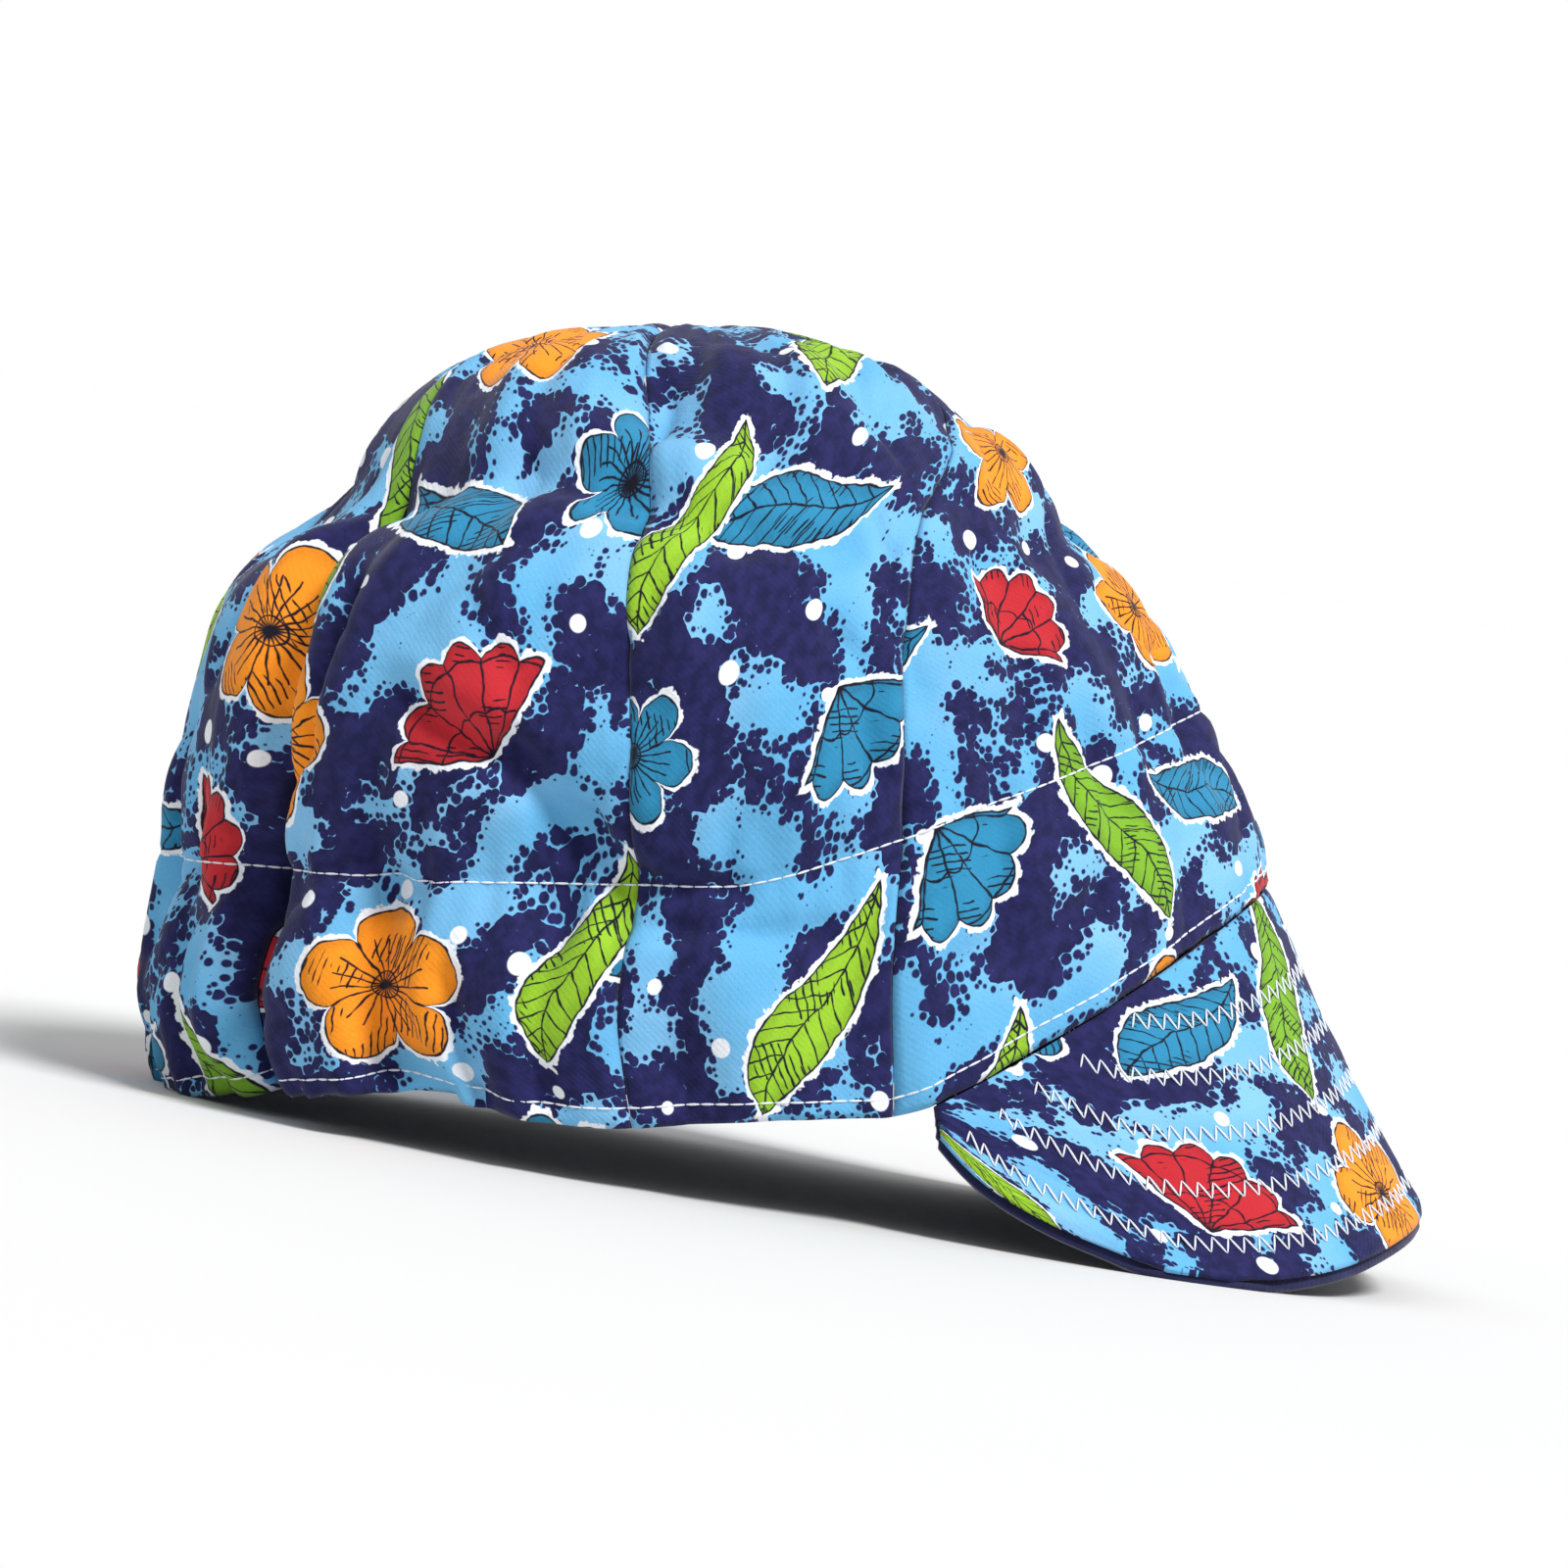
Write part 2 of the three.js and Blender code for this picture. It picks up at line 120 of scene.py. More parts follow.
# Small creases, in the same columns, with width and depth as shares of these. A negative depth is a ridge.
crease_width, crease_depth = 0.85, 1.35
CREASES = {
    "brow": (57, 0.545, 54.5, 0.49, 2.5, 0.9),
    "high brow": (51.5, 0.625, 48.5, 0.585, 2.5, 0.8),
    "forehead": (32.5, 0.515, 35, 0.42, 4, 0.7),
    "temple": (40.5, 0.345, 45.5, 0.265, 3, 1.0),
    "front": (17, 0.39, 10.5, 0.26, 4, 0.6),
    "dome arc, back": (144, 0.575, 119, 0.605, 5, 2.4),
    "dome arc, middle": (117, 0.605, 98, 0.585, 5, 2.6),
    "dome arc, front": (98, 0.585, 77, 0.53, 5, 3.0),
    "dome arc, end": (77, 0.53, 60, 0.5, 4, 2.0),
    "dome lip": (108, 0.645, 80, 0.6, 5, -1.6),
    "ear drape": (121, 0.38, 107, 0.33, 4, 2.6),
    "ear drape lip": (122, 0.42, 106, 0.37, 4.5, -1.0),
    "dome side": (113, 0.47, 108, 0.42, 3.5, 1.2),
    "front seam fold": (66, 0.43, 63, 0.37, 3.5, 1.3),
    "brow slant": (40, 0.46, 47, 0.4, 3.5, 1.0),
    "pleat, high": (133, 0.48, 137, 0.34, 3, 2.0),
    "pleat, middle": (137, 0.34, 143, 0.22, 3, 2.5),
    "pleat, low": (143, 0.22, 142, 0.01, 3, 2.4),
    "band before the pleat": (131, 0.2, 130.5, 0.02, 6, -1.1),
    "band valley": (124, 0.21, 124.5, 0.02, 3.5, 3.2),
    "band ridge": (119, 0.205, 119, 0.02, 5, -1.1),
    "band crease": (115, 0.12, 114, 0.01, 3.5, 2.4),
    "ear valley": (104, 0.2, 106.5, 0.03, 4, 2.4),
    "ear overhang, high": (107, 0.33, 101, 0.265, 5, 2.8),
    "ear overhang, low": (101, 0.265, 96, 0.225, 5, 2.8),
    "ear overhang, front": (96, 0.222, 84, 0.214, 3.5, 1.8),
    "band fold": (97, 0.19, 75, 0.168, 3, 1.8),
    "temple dimple": (65, 0.35, 66.5, 0.29, 4, 1.8),
    "brow fold": (62, 0.1, 44, 0.095, 4, 1.3),
    "ear": (91, 0.18, 91.5, 0.04, 4, 0.8),
    "band behind the pleat": (149.5, 0.21, 147.5, 0.02, 5, -1.1),
    "nape valley": (155.5, 0.2, 156.5, 0.02, 3.5, 1.4),
    "nape": (168, 0.44, 164, 0.325, 4, 0.9),
    "back": (190, 0.3, 192, 0.18, 4, 0.9),
    "left nape valley": (205, 0.2, 204, 0.02, 4, 1.4),
    "left pleat": (222, 0.32, 218, 0.03, 3.5, 1.6),
    "left band valley": (238, 0.2, 237, 0.01, 4, 1.6),
    "left band ridge": (246, 0.2, 246, 0.02, 6, -0.9),
    "left ear valley": (254, 0.19, 252, 0.03, 4, 1.3),
    "left ear overhang": (268, 0.3, 264, 0.22, 7, 1.5),
    "left dome arc": (250, 0.56, 285, 0.62, 5, 1.6),
    "left brow": (300, 0.5, 305, 0.43, 3, 0.8),
    "left temple": (318, 0.33, 313, 0.25, 3, 0.9),
}
# Angle, spread and lift of each wave of the rim.
RIM_WAVES = ((127, 14, 0.6), (100, 12, -0.3), (236, 13, 0.45), (262, 12, -0.25))


def ease(start, end, value):
    t = np.clip((value - start) / (end - start), 0, 1)
    return t * t * (3 - 2 * t)


def near(away, width):
    """1 on a line, falling softly to 0 past its width."""
    return np.exp(-((away / width) ** 2))


def smooth_curve(places, values, where):
    """A smooth curve through values at the given places, read at where."""
    places, values, where = (np.asarray(x, float) for x in (places, values, where))
    slopes = np.empty_like(values)
    slopes[1:-1] = (values[2:] - values[:-2]) / (places[2:] - places[:-2])
    slopes[0] = (values[1] - values[0]) / (places[1] - places[0])
    slopes[-1] = (values[-1] - values[-2]) / (places[-1] - places[-2])
    i = np.searchsorted(places[1:-1], where, side="left")
    step = places[i + 1] - places[i]
    s = (where - places[i]) / step
    bend = (2 * s - 3) * s * s
    rise = step * s * (1 - s) * (slopes[i] * (1 - s) - slopes[i + 1] * s)
    return values[i] * (1 + bend) - values[i + 1] * bend + rise


def section(column, up):
    rows = np.array(list(SECTIONS.values()))
    return smooth_curve(rows[:, 0], rows[:, SECTION_COLUMNS.index(column)], up)


def seam_angle(index, up):
    return smooth_curve(SEAM_LEVELS, list(SEAMS.values())[index], np.minimum(up, SEAM_LEVELS[-1]))


def across_panel(at, up):
    """Where a place lies across its panel: 0 on one seam and 1 on the next."""
    first = seam_angle(0, up)
    angle = np.mod(at - first, 360) + first
    seams = np.array([seam_angle(k, up) + 0 * angle for k in range(len(SEAMS))])
    index = np.clip((seams <= angle).sum(0) - 1, 0, panel_count - 1)
    low = np.take_along_axis(seams, index[None], 0)[0]
    high = np.take_along_axis(seams, index[None] + 1, 0)[0]
    return (angle - low) / (high - low)


def smooth_crown(at, up):
    c, s = np.cos(np.radians(at)), np.sin(np.radians(at))
    front_x = section("front_x", up) * half_length
    back_x = section("back_x", up) * half_length
    side_z = section("side_z", up) * crown_height
    front_z = forehead_rise + section("front_z", up) * (crown_height - forehead_rise)
    end_z = np.where(c > 0, front_z, section("back_z", up) * crown_height)
    width = section("side_y", up) * half_width * s * (1 - egg_shape * c)
    level = rim_flat * (1 - ease(0, 0.35, up))
    climb = (np.maximum(np.abs(c) - level, 0) / (1 - level)) ** rim_curve
    x = (front_x - back_x) / 2 + (front_x + back_x) / 2 * c
    y = -width + crown_lean * ease(0.35, 1, up)
    z = side_z + (end_z - side_z) * climb + tip_slope * width * ease(0.4, 0.8, up)
    return np.stack([x, y, z], -1)


def around(at, up):
    """The girth per degree at a height, in millimetres."""
    return rim_per_degree * np.maximum(section("side_y", up), 0)


def folded(at, up, folds, width_unit=1, depth_unit=1):
    """The sum of a table's folds at a place of the crown, in millimetres."""
    girth = around(at, up)
    total = 0 * girth
    for from_at, from_up, to_at, to_up, width, depth in folds.values():
        side = np.where(np.abs(at - from_at) > 180, at + 360 * np.sign(from_at - at), at)
        along = np.stack([(to_at - from_at) * girth, (to_up - from_up) * gore_height + 0 * girth])
        place = np.stack([(side - from_at) * girth, (up - from_up) * gore_height])
        held = np.clip((place * along).sum(0) / (along**2).sum(0), 0, 1)
        away = np.hypot(*(place - held * along))
        total = total + depth * depth_unit * near(away, width * width_unit)
    return total


def relief(at, up):
    """The bellies, folds and gathers, as a height over the smooth crown."""
    belly = gore_fullness * (0.6 + 0.4 * np.sin(math.pi * across_panel(at, up)))
    belly *= (0.35 + 0.65 * ease(0.2, 0.45, up)) * (1 - ease(0.7, 0.95, up))
    out = belly + folded(at, up, FOLDS, fold_width, fold_depth)
    girth = around(at, up)
    from_back = np.abs(180 - np.mod(at, 360))
    wave = 2 * math.pi * from_back * girth / gather_pitch
    drawn = (1 - ease(40, 75, from_back)) * (1 - ease(band_up, band_up + 0.2, up))
    return out + gather_depth * drawn * np.sin(wave + 0.9 * np.sin(0.43 * wave))


def facing(surface, at, up):
    """The outward direction of a surface given as a function of angle and height."""
    along_at = surface(at + 0.5, up) - surface(at - 0.5, up)
    along_up = surface(at, up + 0.003) - surface(at, up - 0.003)
    outward = np.cross(along_up, along_at)
    return outward / np.linalg.norm(outward, axis=-1, keepdims=True)


def crown_surface(at, up):
    point = smooth_crown(at, up)
    lift = 0
    for wave_at, spread, height in RIM_WAVES:
        lift = lift + height * near(np.mod(at - wave_at + 180, 360) - 180, spread)
    point[..., 2] += fold_depth * lift * (1 - ease(0, 0.25, up))
    return point + facing(smooth_crown, at, up) * relief(at, up)[..., None]


def crown_wall(at, up, depth):
    """Places in the crown's wall, at a depth under its outer face."""
    share = ease(0.93, 0.993, up)[..., None]
    outward = facing(crown_surface, at, up) * (1 - share) + np.array([0, 0, 1]) * share
    outward /= np.linalg.norm(outward, axis=-1, keepdims=True)
    return crown_surface(at, up) - outward * np.asarray(depth)[..., None]


def ripple(u, v, seed):
    """Smooth unevenness from -1 to 1, over two numbers."""
    return np.array([noise.noise(Vector((a, b, seed))) for a, b in zip(u, v)])


def cloth_detail(at, up, fraction):
    """Pinched seams, sewn rows, drawn cloth and small creases, as a depth under the folded cloth."""
    across = at * rim_per_degree
    along = up * gore_height
    from_band = along - band_width
    edge = np.minimum(fraction, 1 - fraction) * 360 / panel_count * around(at, up)
    near_rim = near(along, 16)
    near_band = near(from_band, 13)
    near_seam = near(edge, 7) * (1 - ease(0.75, 0.95, up))
    from_back = np.abs(180 - np.mod(at, 360))
    drawn = (1 - ease(45, 95, from_back)) * (1 - ease(band_up, band_up + 0.25, up))
    depth = 0.4 * near(edge, 0.8) - 0.2 * near(edge - 3, 1.6)
    depth += 0.7 * near(from_band, 1.3) + 0.3 * near(along - hem_row, 0.9) + 0.7 * near(along, 0.9)
    depth += folded(at, up, CREASES, crease_width, crease_depth)
    puckers = ripple(across / 4.2, along / 17, 3.1)
    gathers = ripple(across / 8.5, along / 60, 5.9)
    drag = 1 - 3.2 * np.abs(ripple(across / 26 + along / 40, along / 34, 9.2))
    creases = ripple(across / 15, along / 42, 7.7) + 0.5 * ripple(across / 8 + along / 30, along / 21, 1.3)
    depth += (0.7 * near_band + 0.35 * near_rim + 0.6 * near_seam + drawn) * puckers
    depth += (2.0 * creases + 1.4 * np.maximum(drag, 0) ** 2) * (1 - 0.8 * ease(0.7, 0.95, up))
    depth += gathers * (3.2 * drawn + 1.6 * near_band)
    return np.clip(depth, -2.6, 5) * (1 - ease(0.96, 1, up))


# The level cap is turned about its cross axis and moved, so that it stands on the table by itself.
rest_tilt = math.radians(-9.6302)
rest_shift = np.array([-11.9231, -0.346, 16.2126])


def stand_on_table(points, lowest=0):
    """From the level cap in millimetres to the cap at rest in metres, pressed flat at its lowest height."""
    c, s = math.cos(rest_tilt), math.sin(rest_tilt)
    turned = points @ np.array([[c, 0, -s], [0, 1, 0], [s, 0, c]]) + rest_shift
    turned[:, 2] = np.maximum(turned[:, 2], lowest)
    return turned / 1000


def cut_cloth(name, columns, rows, place, print_place, lowest=0):
    """A sheet of cloth on a grid. Place gives its points, and print_place where the print lies on it."""
    bm = bmesh.new()
    bmesh.ops.create_grid(bm, x_segments=columns, y_segments=rows, size=0.5)
    flat = np.array([vert.co[:2] for vert in bm.verts]) + 0.5
    points = stand_on_table(place(flat[:, 0], flat[:, 1]), lowest)
    pattern = print_place(flat[:, 0], flat[:, 1]) / 100
    for vert, point in zip(bm.verts, points):
        vert.co = point
    bm.verts.index_update()
    layer = bm.loops.layers.uv.new("print")
    for face in bm.faces:
        face.smooth = True
        for loop in face.loops:
            loop[layer].uv = pattern[loop.vert.index]
    bmesh.ops.reverse_faces(bm, faces=bm.faces)
    mesh = bpy.data.meshes.new(name)
    bm.to_mesh(mesh)
    bm.free()
    piece = bpy.data.objects.new(name, mesh)
    bpy.context.collection.objects.link(piece)
    return piece


def thicken(piece, thickness, *materials):
    """The cloth's thickness, with its second finish on the wrong side."""
    for material in materials:
        piece.data.materials.append(material)
    wall = piece.modifiers.new("thickness", "SOLIDIFY")
    wall.thickness = thickness / 1000
    wall.offset = -1
    wall.use_even_offset = False
    wall.material_offset = len(materials) - 1
    wall.material_offset_rim = 0


# The crown's cotton: a light twill printed on its face, so that its wrong side is paler. The print, the weave
# and each motif are groups of nodes, placed wherever a finish needs them.
def linear(red, green, blue):
    """A colour picked in sRGB, from 0 to 255, for a shader socket."""
    shares = [value / 255 for value in (red, green, blue)]
    return [c / 12.92 if c <= 0.04045 else ((c + 0.055) / 1.055) ** 2.4 for c in shares] + [1]


def node(tree, kind, *values, out=0, **settings):
    """A node with its settings, its inputs filled in order from sockets or constants. Gives one output."""
    made = tree.nodes.new(kind)
    for key, value in settings.items():
        setattr(made, key, value)
    sockets = [socket for socket in made.inputs if socket.enabled]
    for socket, value in zip(sockets, values):
        if isinstance(value, bpy.types.NodeSocket):
            tree.links.new(value, socket)
        elif value is not None:
            socket.default_value = value
    return [socket for socket in made.outputs if socket.enabled][out]


def maths(tree, operation, *values):
    return node(tree, "ShaderNodeMath", *values, operation=operation)


def over(tree, amount, below, above):
    """One colour laid over another where amount is 1."""
    return node(tree, "ShaderNodeMix", amount, below, above, data_type="RGBA")


def span(tree, value, low, high, from_value=0.0, to_value=1.0):
    """The share of the way from low to high, or the value that far between two others."""
    return node(tree, "ShaderNodeMapRange", value, low, high, from_value, to_value)


def sharp(tree, value, width):
    """1 where value is above 0, with a soft edge of that width."""
    return span(tree, value, -width, width)


def soft_noise(tree, place, scale, detail, rough=0.5, out=0):
    return node(tree, "ShaderNodeTexNoise", place, scale, detail, rough, noise_dimensions="2D", out=out)


def speckles(tree, place, scale):
    """Scattered points, as the outputs of a Voronoi texture."""
    made = tree.nodes.new("ShaderNodeTexVoronoi")
    made.voronoi_dimensions = "2D"
    made.inputs["Scale"].default_value = scale
    tree.links.new(place, made.inputs["Vector"])
    return made.outputs


def new_group(name, inputs, outputs):
    group = bpy.data.node_groups.new(name, "ShaderNodeTree")
    for label, kind in inputs.items():
        group.interface.new_socket(label, in_out="INPUT", socket_type=kind)
    for label, kind in outputs.items():
        group.interface.new_socket(label, in_out="OUTPUT", socket_type=kind)
    start = group.nodes.new("NodeGroupInput")
    end = group.nodes.new("NodeGroupOutput")
    return group, start.outputs, end.inputs


def place_group(tree, group, **values):
    """Puts a group into a tree and fills its inputs by name, with _ for a space."""
    made = tree.nodes.new("ShaderNodeGroup")
    made.node_tree = group
    for label, value in values.items():
        socket = made.inputs[label.replace("_", " ")]
        if isinstance(value, bpy.types.NodeSocket):
            tree.links.new(value, socket)
        else:
            socket.default_value = value
    return made.outputs


INK = linear(18, 16, 34)
PAPER_WHITE = linear(238, 242, 248)
COLOUR, VECTOR, NUMBER = "NodeSocketColor", "NodeSocketVector", "NodeSocketFloat"
motif_inputs = {
    "Ground": COLOUR, "Place": VECTOR, "Centre": VECTOR, "Turn": NUMBER,
    "Size": NUMBER, "Width": NUMBER, "Bend": NUMBER, "Fill": COLOUR,
}
# The print repeats over this width and height, in millimetres.
repeat = (140.0, 120.0)


def local_place(tree, inputs):
    """The place in the nearest repeat of a motif, turned with it, with a hand-drawn wobble."""
    wobble = soft_noise(tree, inputs["Place"], 0.16, 2.0, out=1)
    wobble = node(tree, "ShaderNodeVectorMath", wobble, (0.5, 0.5, 0.5), operation="SUBTRACT")
    wobble = node(tree, "ShaderNodeVectorMath", wobble, (1.7, 1.7, 0), operation="MULTIPLY")
    place = node(tree, "ShaderNodeVectorMath", inputs["Place"], inputs["Centre"], operation="SUBTRACT")
    high, low = (repeat[0] / 2, repeat[1] / 2, 1.0), (-repeat[0] / 2, -repeat[1] / 2, -1.0)
    place = node(tree, "ShaderNodeVectorMath", place, high, low, operation="WRAP")
    place = node(tree, "ShaderNodeVectorMath", place, wobble, operation="ADD")
    turned = node(tree, "ShaderNodeVectorRotate", place, (0, 0, 0), (0, 0, 1), inputs["Turn"])
    split = tree.nodes.new("ShaderNodeSeparateXYZ")
    tree.links.new(turned, split.inputs[0])
    return split.outputs[0], split.outputs[1]


def distance(tree, x, y):
    squares = maths(tree, "MULTIPLY", x, x), maths(tree, "MULTIPLY", y, y)
    return maths(tree, "SQRT", maths(tree, "ADD", *squares))


def paint_motif(tree, inputs, body, lines, x, y):
    """A white halo, the fill with darker flanks, an outline and the inner lines, over the ground."""
    stray = soft_noise(tree, inputs["Place"], 0.55, 2.0)
    stray = maths(tree, "MULTIPLY_ADD", stray, 2.4, -1.2)
    halo = sharp(tree, maths(tree, "ADD", body, maths(tree, "ADD", stray, 1.15)), 0.12)
    shaded = node(tree, "ShaderNodeHueSaturation", 0.5, 1.0, 0.72, 1.0, inputs["Fill"])
    flank = span(tree, maths(tree, "ADD", body, stray), 0.4, 2.8, 0.75, 0.0)
    fill = over(tree, flank, inputs["Fill"], shaded)
    thin = maths(tree, "MULTIPLY_ADD", stray, 0.12, 0.2)
    outline = sharp(tree, maths(tree, "SUBTRACT", thin, maths(tree, "ABSOLUTE", body)), 0.1)
    inside = sharp(tree, body, 0.1)
    slant = maths(tree, "MULTIPLY_ADD", x, 0.8, maths(tree, "ADD", y, 70.0))
    scribble = maths(tree, "PINGPONG", slant, 0.8)
    patch = maths(tree, "SUBTRACT", 0.56, soft_noise(tree, inputs["Place"], 0.13, 1.0))
    patch = maths(tree, "MULTIPLY", maths(tree, "MAXIMUM", patch, 0.0), 9.0)
    lines = maths(tree, "MINIMUM", lines, maths(tree, "ADD", scribble, patch))
    lines = maths(tree, "MULTIPLY", sharp(tree, maths(tree, "SUBTRACT", thin, lines), 0.1), inside)
    colour = over(tree, halo, inputs["Ground"], PAPER_WHITE)
    colour = over(tree, inside, colour, fill)
    return over(tree, maths(tree, "MAXIMUM", outline, lines), colour, INK)


# A long bent leaf with a midrib and slanting veins.
leaf_motif, inputs, outputs = new_group("long leaf", motif_inputs, {"Color": COLOUR})
tree = leaf_motif
x, y = local_place(tree, inputs)
share = maths(tree, "DIVIDE", y, inputs["Size"])
bent = maths(tree, "MULTIPLY", maths(tree, "SINE", maths(tree, "MULTIPLY", share, 2.4)), inputs["Bend"])
x = maths(tree, "SUBTRACT", x, bent)
from_rib = maths(tree, "ABSOLUTE", x)
taper = maths(tree, "MULTIPLY_ADD", maths(tree, "MULTIPLY", share, share), -1.0, 1.0)
taper = maths(tree, "POWER", maths(tree, "MAXIMUM", taper, 0.0), 0.8)
taper = maths(tree, "MULTIPLY", taper, maths(tree, "MULTIPLY_ADD", share, -0.3, 1.0))
body = maths(tree, "SUBTRACT", maths(tree, "MULTIPLY", taper, inputs["Width"]), from_rib)
body = maths(tree, "MINIMUM", body, maths(tree, "SUBTRACT", inputs["Size"], maths(tree, "ABSOLUTE", y)))
slant = maths(tree, "MULTIPLY_ADD", from_rib, 0.8, maths(tree, "ADD", y, 60.0))
vein = maths(tree, "PINGPONG", slant, 1.7)
lines = maths(tree, "MINIMUM", from_rib, vein)
tree.links.new(paint_motif(tree, inputs, body, lines, x, y), outputs["Color"])

# A round flower with as many petals as Width says, and Bend for how deeply it is cut.
flower_motif, inputs, outputs = new_group("flower", motif_inputs, {"Color": COLOUR})
tree = flower_motif
x, y = local_place(tree, inputs)
radius = distance(tree, x, y)
half_count = maths(tree, "MULTIPLY", inputs["Width"], 0.5)
half_turns = maths(tree, "MULTIPLY", maths(tree, "ARCTAN2", x, y), half_count)
petal = maths(tree, "ABSOLUTE", maths(tree, "COSINE", half_turns))
round_petal = maths(tree, "POWER", petal, 0.6)
reach = maths(tree, "MULTIPLY_ADD", round_petal, inputs["Bend"], maths(tree, "SUBTRACT", 1.0, inputs["Bend"]))
body = maths(tree, "SUBTRACT", maths(tree, "MULTIPLY", reach, inputs["Size"]), radius)
between = maths(tree, "MULTIPLY", maths(tree, "MULTIPLY", petal, radius), 0.4)
streak = maths(tree, "ABSOLUTE", maths(tree, "SINE", maths(tree, "MULTIPLY", half_turns, 4.0)))
streak = maths(tree, "MULTIPLY", maths(tree, "MULTIPLY", streak, radius), 0.12)
outer = maths(tree, "SUBTRACT", radius, maths(tree, "MULTIPLY", inputs["Size"], 0.62))
outer = maths(tree, "MULTIPLY", maths(tree, "MAXIMUM", outer, 0.0), 2.0)
heart = maths(tree, "SUBTRACT", radius, maths(tree, "MULTIPLY", inputs["Size"], 0.17))
heart = maths(tree, "ABSOLUTE", heart)
lines = maths(tree, "MINIMUM", maths(tree, "MINIMUM", between, heart), maths(tree, "ADD", streak, outer))
tree.links.new(paint_motif(tree, inputs, body, lines, x, y), outputs["Color"])

# A fan shell with ribs from its hinge. Width is its number of ribs, and Bend how wide it opens, in radians.
shell_motif, inputs, outputs = new_group("fan shell", motif_inputs, {"Color": COLOUR})
tree = shell_motif
x, y = local_place(tree, inputs)
y = maths(tree, "ADD", y, maths(tree, "MULTIPLY", inputs["Size"], 0.45))
radius = distance(tree, x, y)
angle = maths(tree, "ARCTAN2", x, y)
turned = maths(tree, "ABSOLUTE", angle)
rib = maths(tree, "ABSOLUTE", maths(tree, "SINE", maths(tree, "MULTIPLY", angle, inputs["Width"])))
edge = maths(tree, "MULTIPLY", inputs["Size"], maths(tree, "MULTIPLY_ADD", rib, 0.13, 0.88))
edge = maths(tree, "MULTIPLY", edge, maths(tree, "MULTIPLY_ADD", turned, -0.12, 1.0))
flanks = maths(tree, "MULTIPLY", maths(tree, "SUBTRACT", inputs["Bend"], turned), radius)
body = maths(tree, "MINIMUM", maths(tree, "SUBTRACT", edge, radius), flanks)
ribs = maths(tree, "MULTIPLY", maths(tree, "MULTIPLY", rib, radius), 0.14)
growth = maths(tree, "ADD", radius, maths(tree, "MULTIPLY", rib, -0.8))
growth = maths(tree, "PINGPONG", growth, 4.2)
lines = maths(tree, "MINIMUM", ribs, growth)
tree.links.new(paint_motif(tree, inputs, body, lines, x, y), outputs["Color"])

LIME, LIME_DARK = linear(150, 198, 48), linear(122, 174, 44)
ORANGE, RED, TEAL = linear(250, 150, 34), linear(190, 40, 50), linear(44, 134, 176)
# Group, centre across and up the repeat, turn in degrees, size, width and bend, and fill.
MOTIFS = (
    (leaf_motif, (20, 22), 28, 20, 6.2, 3.0, LIME),
    (flower_motif, (60, 18), 10, 15, 5, 0.42, ORANGE),
    (shell_motif, (104, 24), -35, 21, 8, 1.0, RED),
    (leaf_motif, (88, 58), -62, 18, 6.4, -2.6, TEAL),
    (shell_motif, (26, 64), 150, 19, 7, 0.95, TEAL),
    (leaf_motif, (58, 60), -14, 22, 6.0, -3.4, LIME_DARK),
    (flower_motif, (122, 66), 40, 12, 6, 0.5, TEAL),
    (leaf_motif, (10, 104), 80, 18, 6.0, 3.0, TEAL),
    (flower_motif, (92, 96), 66, 15, 5, 0.38, ORANGE),
    (shell_motif, (50, 102), 60, 17, 7, 1.05, RED),
    (leaf_motif, (128, 104), 12, 18, 5.8, 2.6, LIME),
)

# The whole print: navy dabs with speckled edges on sky blue, a scatter of white dots, and the motifs.
# The group works in millimetres, and the cloth's own map is in tenths of a metre.
dab_scale, speckle_scale, dot_scale = 0.068, 0.62, 0.068
dab_cover, dot_share = -2.82, 0.42
print_group, inputs, outputs = new_group("printed pattern", {"Place": VECTOR}, {"Color": COLOUR})
tree = print_group
place = node(tree, "ShaderNodeVectorMath", inputs["Place"], (100.0, 100.0, 0.0), operation="MULTIPLY")
speckle = speckles(tree, place, speckle_scale)
spread = soft_noise(tree, speckle["Position"], dab_scale, 3.0)
dabs = maths(tree, "SUBTRACT", maths(tree, "MULTIPLY_ADD", spread, 7.0, dab_cover), speckle["Distance"])
dabs = sharp(tree, dabs, 0.07)
tone = span(tree, soft_noise(tree, place, 0.035, 2.0), 0.35, 0.65)
sky = over(tree, tone, linear(98, 174, 220), linear(128, 188, 230))
grain = span(tree, soft_noise(tree, place, 0.4, 3.0), 0.35, 0.65)
navy = over(tree, grain, linear(24, 26, 70), linear(36, 36, 90))
colour = over(tree, dabs, sky, navy)
dots = speckles(tree, place, dot_scale)
chance = node(tree, "ShaderNodeSeparateXYZ", dots["Color"])
size = span(tree, chance, 0.0, dot_share, 0.135, 0.075)
size = maths(tree, "MULTIPLY", size, maths(tree, "LESS_THAN", chance, dot_share))
dots = sharp(tree, maths(tree, "SUBTRACT", size, dots["Distance"]), 0.008)
colour = over(tree, dots, colour, PAPER_WHITE)
for group, centre, turn, size, width, bend, fill in MOTIFS:
    colour = place_group(
        tree, group, Ground=colour, Place=place, Centre=(*centre, 0.0), Turn=math.radians(turn),
        Size=size, Width=width, Bend=bend, Fill=fill,
    )[0]
tree.links.new(colour, outputs["Color"])

